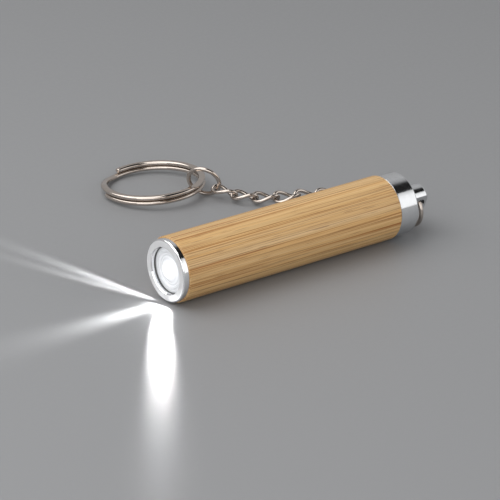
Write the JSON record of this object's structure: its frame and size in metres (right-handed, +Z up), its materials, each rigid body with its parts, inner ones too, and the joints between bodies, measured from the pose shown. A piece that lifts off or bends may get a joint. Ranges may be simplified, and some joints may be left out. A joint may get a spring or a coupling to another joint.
{
  "type": "keychain flashlight",
  "caption": "Small cylindrical bamboo flashlight with chrome ends, a twist tail cap, and a twisted chain to a split ring.",
  "frame": {"origin": "middle of the bamboo barrel, on its axis", "axes": "+X along the barrel the way the light leaves, +Z up, +Y to the side away from the split ring"},
  "size_m": [0.0727, 0.0742, 0.015],
  "materials": {
    "bamboo": "lacquered bamboo, fine lengthwise fibres, semi-gloss",
    "tube_aluminium": "drawn, satin",
    "chrome_trim": "polished chrome plate",
    "seal_rubber": "black nitrile",
    "lens_clear": "clear, polished",
    "reflector_satin": "white-silver stepped cone, satin",
    "led_epoxy": "clear epoxy",
    "led_phosphor": "yellow phosphor on the die",
    "tinned_steel": "tinned wire",
    "black_plastic": "black moulded plastic",
    "board_green": "solder-masked board",
    "chip_black": "moulded black",
    "contact_brass": "plated brass",
    "cell_steel": "nickel-plated steel",
    "cell_print": "plain blue jacket",
    "spring_steel": "spring steel",
    "nickel_wire": "nickel-plated steel, polished"
  },
  "bodies": {
    "torch": {"bamboo_barrel": "bamboo", "front_bezel": "chrome_trim", "front_lens": "lens_clear", "battery_tube": "tube_aluminium", "lens_gasket": "seal_rubber", "reflector": "reflector_satin", "led_dome": "led_epoxy", "led_die": "led_phosphor", "led_lead_anode": "tinned_steel", "led_lead_cathode": "tinned_steel", "board_holder": "black_plastic", "driver_board": "board_green", "driver_chip": "chip_black", "driver_inductor": "chip_black", "front_contact": "contact_brass", "cell_can": "cell_steel", "cell_jacket": "cell_print", "cell_seal": "black_plastic", "cell_positive_cap": "cell_steel", "tail_o_ring": "seal_rubber"},
    "spring_seat": {"contact_washer": "contact_brass", "contact_spring": "spring_steel"},
    "cap": {"tail_cap": "chrome_trim"},
    "eye_ring": {"tail_jump_ring": "nickel_wire"},
    "link_01": {"chain_link_01": "nickel_wire"},
    "link_02": {"chain_link_02": "nickel_wire"},
    "link_03": {"chain_link_03": "nickel_wire"},
    "link_04": {"chain_link_04": "nickel_wire"},
    "link_05": {"chain_link_05": "nickel_wire"},
    "link_06": {"chain_link_06": "nickel_wire"},
    "link_07": {"chain_link_07": "nickel_wire"},
    "link_08": {"chain_link_08": "nickel_wire"},
    "link_09": {"chain_link_09": "nickel_wire"},
    "link_10": {"chain_link_10": "nickel_wire"},
    "key_ring": {"key_jump_ring": "nickel_wire"},
    "split": {"split_ring": "nickel_wire"}
  },
  "joints": [
    {"name": "cap_travel", "type": "slide", "parent": "torch", "child": "spring_seat", "axis": [1, 0, 0], "range_m": [-0.0005, 0], "deforming": ["contact_spring"]},
    {"name": "cap_twist", "type": "hinge", "parent": "spring_seat", "child": "cap", "pos_m": [0, 0, 0], "axis": [1, 0, 0], "range_deg": [-180, 0]},
    {"name": "eye_ring_swing", "type": "hinge", "parent": "cap", "child": "eye_ring", "pos_m": [-0.0392, 0, 0], "axis": [0, 0.9272, -0.3746], "range_deg": [-10, 190]},
    {"name": "link_01_turn", "type": "hinge", "parent": "eye_ring", "child": "link_01", "pos_m": [-0.0392, -0.00487, -0.00428], "axis": [0, -0.309, 0.9511], "range_deg": [-40, 40]},
    {"name": "link_02_turn", "type": "hinge", "parent": "link_01", "child": "link_02", "pos_m": [-0.03961, -0.00969, -0.00555], "axis": [-0.1743, -0.2495, 0.9526], "range_deg": [-40, 40]},
    {"name": "link_03_turn", "type": "hinge", "parent": "link_02", "child": "link_03", "pos_m": [-0.03963, -0.01361, -0.0059], "axis": [-0.8101, -0.2171, -0.5446], "range_deg": [-40, 40]},
    {"name": "link_04_turn", "type": "hinge", "parent": "link_03", "child": "link_04", "pos_m": [-0.03805, -0.01948, -0.0059], "axis": [0.5261, 0.141, -0.8387], "range_deg": [-40, 40]},
    {"name": "link_05_turn", "type": "hinge", "parent": "link_04", "child": "link_05", "pos_m": [-0.03584, -0.02275, -0.0059], "axis": [0.4353, 0.5572, 0.7071], "range_deg": [-40, 40]},
    {"name": "link_06_turn", "type": "hinge", "parent": "link_05", "child": "link_06", "pos_m": [-0.03105, -0.02649, -0.0059], "axis": [-0.4353, -0.5572, 0.7071], "range_deg": [-40, 40]},
    {"name": "link_07_turn", "type": "hinge", "parent": "link_06", "child": "link_07", "pos_m": [-0.02747, -0.02812, -0.0059], "axis": [-0.2988, -0.6409, -0.7071], "range_deg": [-40, 40]},
    {"name": "link_08_turn", "type": "hinge", "parent": "link_07", "child": "link_08", "pos_m": [-0.02196, -0.03069, -0.0059], "axis": [0.2988, 0.6409, -0.7071], "range_deg": [-40, 40]},
    {"name": "link_09_turn", "type": "hinge", "parent": "link_08", "child": "link_09", "pos_m": [-0.0188, -0.03304, -0.00592], "axis": [0.4112, 0.3584, 0.8382], "range_deg": [-40, 40]},
    {"name": "link_10_turn", "type": "hinge", "parent": "link_09", "child": "link_10", "pos_m": [-0.01506, -0.03783, -0.00571], "axis": [-0.6726, -0.5014, 0.5443], "range_deg": [-40, 40]},
    {"name": "key_ring_turn", "type": "hinge", "parent": "link_10", "child": "key_ring", "pos_m": [-0.01274, -0.0422, -0.00496], "axis": [0.8099, 0.3767, -0.4496], "range_deg": [-40, 40]},
    {"name": "split_ring_flip", "type": "hinge", "parent": "key_ring", "child": "split", "pos_m": [-0.01071, -0.04477, -0.00462], "axis": [-0.809, -0.5878, 0], "range_deg": [-10, 150]}
  ],
  "couplings": [
    {"joint": "cap_twist", "follows": "cap_travel", "rad_per_m": 6283.2}
  ]
}
